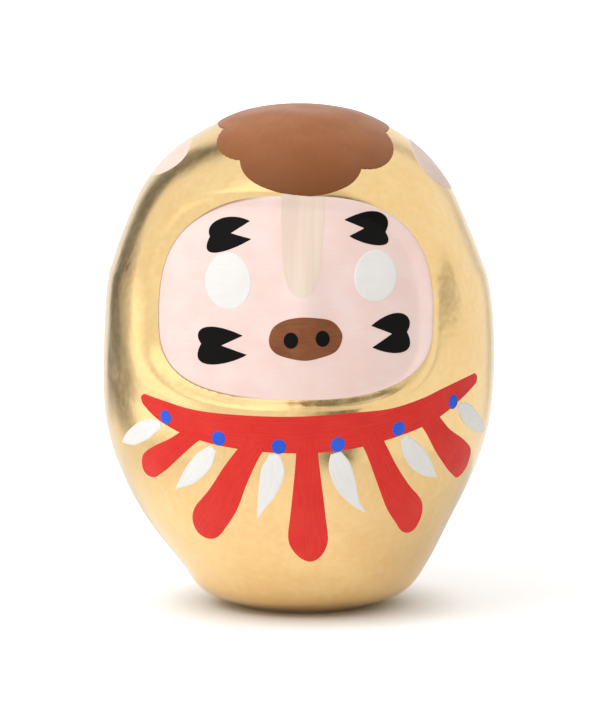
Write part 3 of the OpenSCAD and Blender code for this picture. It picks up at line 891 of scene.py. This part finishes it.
def floor():
    """Pale floor that glows: the glow is painted light, kept off near the doll's foot, cut behind
    the doll and weaker to its right as painted shadow, and stronger where the camera sees the
    floor. The part near the doll shows in its gloss: past that, the room does."""
    material = bpy.data.materials.new("floor")
    t = Tree(material)
    place = t.add("TexCoord").outputs["Object"]
    size = body_h * MM
    away = t.add("VectorMath", {0: place}, operation="LENGTH").outputs["Value"]
    shadow_distance = t.add("VectorMath", {0: t.scaled(place, (0.7, 1, 0)), 1: (0.05 * size, 0.73 * size, 0)},
                   operation="DISTANCE").outputs["Value"]
    # painted light: the floor glows, from nothing at the doll's foot to most a little way out
    glow = t.math("MULTIPLY", t.ramp(away, 0.16 * size, 0.3 * size, 0, 0.29),
                  t.ramp(away, 0.5 * size, 1.1 * size, 1, 0.4))
    # painted shadow: the glow is cut in a patch behind the doll
    glow = t.math("MULTIPLY", glow, t.ramp(shadow_distance, 0.3 * size, 0.67 * size))
    to_right = t.add("SeparateXYZ", {0: place}).outputs["X"]
    # painted shadow: the glow is weaker to the doll's right
    glow = t.math("MULTIPLY", glow, t.ramp(to_right, 0, 0.4 * size, 1, 0.42))
    # painted light: more glow where the camera sees the floor, so it reads white away from the doll
    backdrop = t.math("ADD", t.ramp(away, 0.14 * size, 0.37 * size, 0, 0.4),
                      t.ramp(away, 0.7 * size, 2.5 * size, 0, 0.5))
    seen = t.add("LightPath").outputs["Is Camera Ray"]
    glow = t.add("Mix", {0: seen, 2: glow, 3: backdrop}).outputs[0]
    shader = t.add("BsdfPrincipled", {
        "Base Color": (0.84, 0.86, 0.88, 1), "Roughness": 0.9, "Specular IOR Level": 0.1,
        "Emission Color": (0.97, 1, 1.05, 1), "Emission Strength": glow})
    out = t.add("OutputMaterial")
    t.feed(out.inputs["Surface"], shader.outputs[0])
    near = 1.15 * body_h
    ring_of_floor("floor", 0, near, material)
    ring_of_floor("far_floor", near, 40 * body_h, material).visible_glossy = False


# What the gloss sees of the room: azimuth from, to, elevation from, to, softness of the edges,
# and the brightness there. Azimuth 0 is towards the camera and grows to the right.
room = [
    [-151, -130, -9, 55, 4, 0.2],
    [-134, -117, -9, 14, 4, 0.52],
    [-134, -109, -16, -5, 4, 0.5],
    [-113, -58, -15, 8, 7, 1.42],
    [-110, -80, -30, -16, 3, 0.8],
    [-61, -8, 25, 90, 6, 1.45],
    [-158, -61, 75, 90, 5, 1.35],
    [7, 33, -26, 72, 8, 0.75],
    [7, 33, -26, 12, 8, 0.6],
    [17, 33, -26, 10, 3, 0.3],
    [30, 50, 60, 76, 3, 0.35],
    [18, 180, 75, 90, 3, 0.2],
    [64, 112, 2, 17, 5, 0.6],
    [143, 156, -12, 50, 4, 0.7]]


def studio():
    world = bpy.data.worlds.new("studio")
    bpy.context.scene.world = world
    t = Tree(world)
    split = t.add("SeparateXYZ", {0: t.add("TexCoord").outputs["Generated"]})
    x, y, z = (split.outputs[k] for k in "XYZ")
    azimuth = t.math("DEGREES", t.math("ARCTAN2", x, t.math("MULTIPLY", y, -1)))
    elevation = t.math("DEGREES", t.math("ARCSINE", z))
    gloss = 1.0
    for left, right, low, high, soft, level in room:
        sides = t.math("MULTIPLY", t.ramp(azimuth, left - soft, left + soft),
                       t.ramp(azimuth, right - soft, right + soft, 1, 0))
        heights = t.math("MULTIPLY", t.ramp(elevation, low - soft, low + soft),
                         t.ramp(elevation, high - soft, high + soft, 1, 0))
        inside = t.math("MULTIPLY", sides, heights)
        gloss = t.math("MULTIPLY", gloss, t.math("ADD", 1, t.math("MULTIPLY", inside, level - 1)))
    fill = t.colour(t.ramp(x, -1, 1), (0.75, 0.735, 0.72, 1), (0.43, 0.405, 0.38, 1))
    fill = t.scaled(fill, t.ramp(z, -0.2, 1, 0.8, 1.6))
    path = t.add("LightPath").outputs
    level = t.colour(path["Is Glossy Ray"], fill, gloss)
    level = t.colour(path["Is Camera Ray"], level, (1, 1, 1, 1))
    background = t.add("Background", {"Color": level, "Strength": 1.0})
    out = t.add("OutputWorld")
    t.feed(out.inputs["Surface"], background.outputs[0])


def key_light():
    """A large soft light high on the left, in front."""
    light = bpy.data.lights.new("key", "AREA")
    light.shape = "DISK"
    light.size = 6 * body_h * MM
    light.energy = 6.0
    lamp = bpy.data.objects.new("key", light)
    bpy.context.scene.collection.objects.link(lamp)
    middle = Vector((0, 0, body_h / 2)) * MM
    lamp.location = middle + Vector((-0.8, -0.65, 1.05))
    lamp.rotation_euler = (middle - lamp.location).to_track_quat("-Z", "Y").to_euler()
    lamp.visible_glossy = False


def camera():
    """Straight in front, a little above, a long lens."""
    distance = 8 * body_h * MM
    elevation = math.radians(7)
    view_height = 1.436 * body_h * MM
    lens = bpy.data.cameras.new("camera")
    lens.sensor_width = 36
    lens.lens = lens.sensor_width * distance / view_height
    eye = bpy.data.objects.new("camera", lens)
    bpy.context.scene.collection.objects.link(eye)
    aim = Vector((0.0016, 0, 0.49)) * body_h * MM
    eye.location = aim + distance * Vector((0, -math.cos(elevation), math.sin(elevation)))
    eye.rotation_euler = (math.pi / 2 - elevation, 0, 0)
    bpy.context.scene.camera = eye


floor()
studio()
key_light()
camera()
bpy.context.scene.view_settings.view_transform = "Standard"
